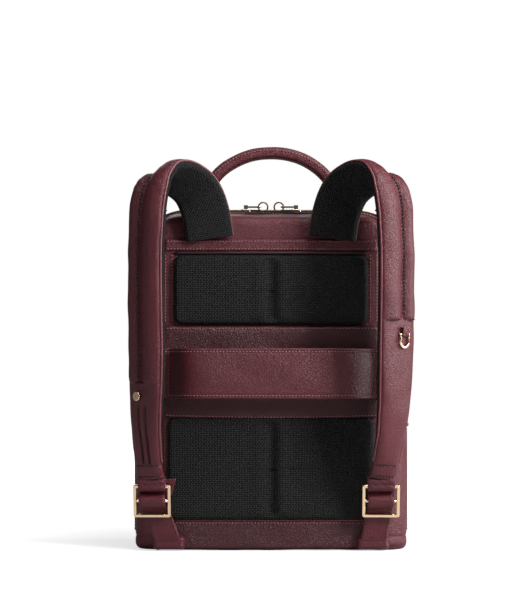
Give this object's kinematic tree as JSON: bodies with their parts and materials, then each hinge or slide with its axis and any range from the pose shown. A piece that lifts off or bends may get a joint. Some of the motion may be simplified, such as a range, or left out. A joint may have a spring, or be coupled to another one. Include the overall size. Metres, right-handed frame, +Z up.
{
  "type": "travel backpack",
  "caption": "Leather laptop backpack with a trolley sleeve strap across its mesh-padded back, two padded shoulder straps with frame buckles, a top handle and zipped openings",
  "frame": {"origin": "middle of the base, on the face that stands on the floor", "axes": "+Z up, -Y towards the wearer's back, +X to the right as seen by someone looking at the padded back"},
  "size_m": [0.306, 0.2305, 0.4375],
  "materials": {
    "leather_burgundy": "grained, satin, stitched",
    "leather_dark": "smooth, dark edge leather",
    "mesh_black": "open air mesh over foam",
    "gold_metal": "polished pale gold plating",
    "zip_tape_black": "woven zip tape",
    "foam_black": "soft closed-cell foam",
    "lining_fabric": "plain woven lining",
    "board_plastic": "plain sheet"
  },
  "bodies": {
    "bag": {"base_panel": "leather_burgundy", "rear_shell": "leather_burgundy", "front_shell": "leather_burgundy", "side_gussets": "leather_burgundy", "zip_tape": "zip_tape_black", "zip_teeth": "gold_metal", "lining": "lining_fabric", "back_frame": "leather_burgundy", "upper_back_pad_mesh": "mesh_black", "upper_back_pad_foam": "foam_black", "lower_back_pad_mesh": "mesh_black", "lower_back_pad_foam": "foam_black", "lumbar_panel": "leather_burgundy", "back_bands": "leather_burgundy", "back_piping": "leather_dark", "trolley_strap": "leather_burgundy", "side_pockets": "leather_burgundy", "front_pocket": "leather_burgundy", "front_pocket_tape": "zip_tape_black", "front_pocket_teeth": "gold_metal", "back_board": "board_plastic", "laptop_sleeve": "lining_fabric", "organiser_pocket": "lining_fabric", "zip_end_tabs": "leather_dark", "handle_anchors": "leather_burgundy", "strap_root_left": "leather_burgundy", "strap_root_right": "leather_burgundy", "strap_anchors": "leather_burgundy"},
    "handle": {"handle_wrap": "leather_burgundy", "handle_core": "foam_black"},
    "shoulder_strap_left": {"strap_mesh_left": "mesh_black", "strap_foam_left": "foam_black", "strap_leather_left": "leather_burgundy", "strap_lower_left": "leather_burgundy", "strap_piping_left": "leather_dark", "strap_tip_left": "leather_burgundy", "buckle_loop_left": "leather_burgundy", "webbing_left": "leather_burgundy", "strap_stud": "gold_metal", "strap_tail_left": "leather_burgundy"},
    "buckle_frame_left": {"buckle_left": "gold_metal"},
    "slider_left": {"zip_slider_left": "gold_metal"},
    "pull_left": {"zip_pull_left": "gold_metal"},
    "ring_left": {"pull_ring_left": "gold_metal"},
    "shoulder_strap_right": {"strap_mesh_right": "mesh_black", "strap_foam_right": "foam_black", "strap_leather_right": "leather_burgundy", "strap_lower_right": "leather_burgundy", "strap_piping_right": "leather_dark", "strap_tip_right": "leather_burgundy", "buckle_loop_right": "leather_burgundy", "webbing_right": "leather_burgundy", "d_ring_loop": "leather_burgundy"},
    "buckle_frame_right": {"buckle_right": "gold_metal"},
    "slider_right": {"zip_slider_right": "gold_metal"},
    "pull_right": {"zip_pull_right": "gold_metal"},
    "ring_right": {"pull_ring_right": "gold_metal"},
    "strap_ring": {"d_ring": "gold_metal"},
    "pocket_slider": {"front_pocket_slider": "gold_metal"},
    "pocket_pull": {"front_pocket_pull": "gold_metal"}
  },
  "joints": [
    {"name": "handle_tilt", "type": "hinge", "parent": "bag", "child": "handle", "pos_m": [0, -0.053, 0.383], "axis": [1, 0, 0], "range_deg": [-22, 8]},
    {"name": "left_strap_swing", "type": "hinge", "parent": "bag", "child": "shoulder_strap_left", "pos_m": [-0.066, -0.081, 0.335], "axis": [0.1334, 0.0184, 0.9909], "range_deg": [-12, 12]},
    {"name": "right_strap_swing", "type": "hinge", "parent": "bag", "child": "shoulder_strap_right", "pos_m": [0.066, -0.081, 0.335], "axis": [-0.1334, 0.0184, 0.9909], "range_deg": [-12, 12]},
    {"name": "left_buckle_rock", "type": "hinge", "parent": "shoulder_strap_left", "child": "buckle_frame_left", "pos_m": [-0.1268, -0.10259, 0.07034], "axis": [1, 0, 0], "range_deg": [-3, 0.5]},
    {"name": "right_buckle_rock", "type": "hinge", "parent": "shoulder_strap_right", "child": "buckle_frame_right", "pos_m": [0.117, -0.10259, 0.07034], "axis": [1, 0, 0], "range_deg": [-3, 0.5]},
    {"name": "left_zip_slide", "type": "slide", "parent": "bag", "child": "slider_left", "axis": [-1, 0, 0], "range_m": [0, 0.06]},
    {"name": "right_zip_slide", "type": "slide", "parent": "bag", "child": "slider_right", "axis": [1, 0, 0], "range_m": [0, 0.06]},
    {"name": "left_pull_flip", "type": "hinge", "parent": "slider_left", "child": "pull_left", "pos_m": [-0.028, -0.01, 0.3765], "axis": [0, -1, 0], "range_deg": [0, 170]},
    {"name": "right_pull_flip", "type": "hinge", "parent": "slider_right", "child": "pull_right", "pos_m": [0.028, -0.01, 0.3765], "axis": [0, 1, 0], "range_deg": [0, 170]},
    {"name": "left_ring_tip", "type": "hinge", "parent": "pull_left", "child": "ring_left", "pos_m": [-0.0088, -0.01, 0.3765], "axis": [1, 0, 0], "range_deg": [-30, 30]},
    {"name": "right_ring_tip", "type": "hinge", "parent": "pull_right", "child": "ring_right", "pos_m": [0.0088, -0.01, 0.3765], "axis": [1, 0, 0], "range_deg": [-30, 30]},
    {"name": "strap_ring_swing", "type": "hinge", "parent": "shoulder_strap_right", "child": "strap_ring", "pos_m": [0.14022, -0.13158, 0.23173], "axis": [0.7166, 0.6973, 0.0169], "range_deg": [-100, 0]},
    {"name": "pocket_zip_slide", "type": "slide", "parent": "bag", "child": "pocket_slider", "axis": [-1, 0, 0], "range_m": [0, 0.14]},
    {"name": "pocket_pull_flip", "type": "hinge", "parent": "pocket_slider", "child": "pocket_pull", "pos_m": [0.07, 0.0795, 0.216], "axis": [1, 0, 0], "range_deg": [0, 170]}
  ]
}
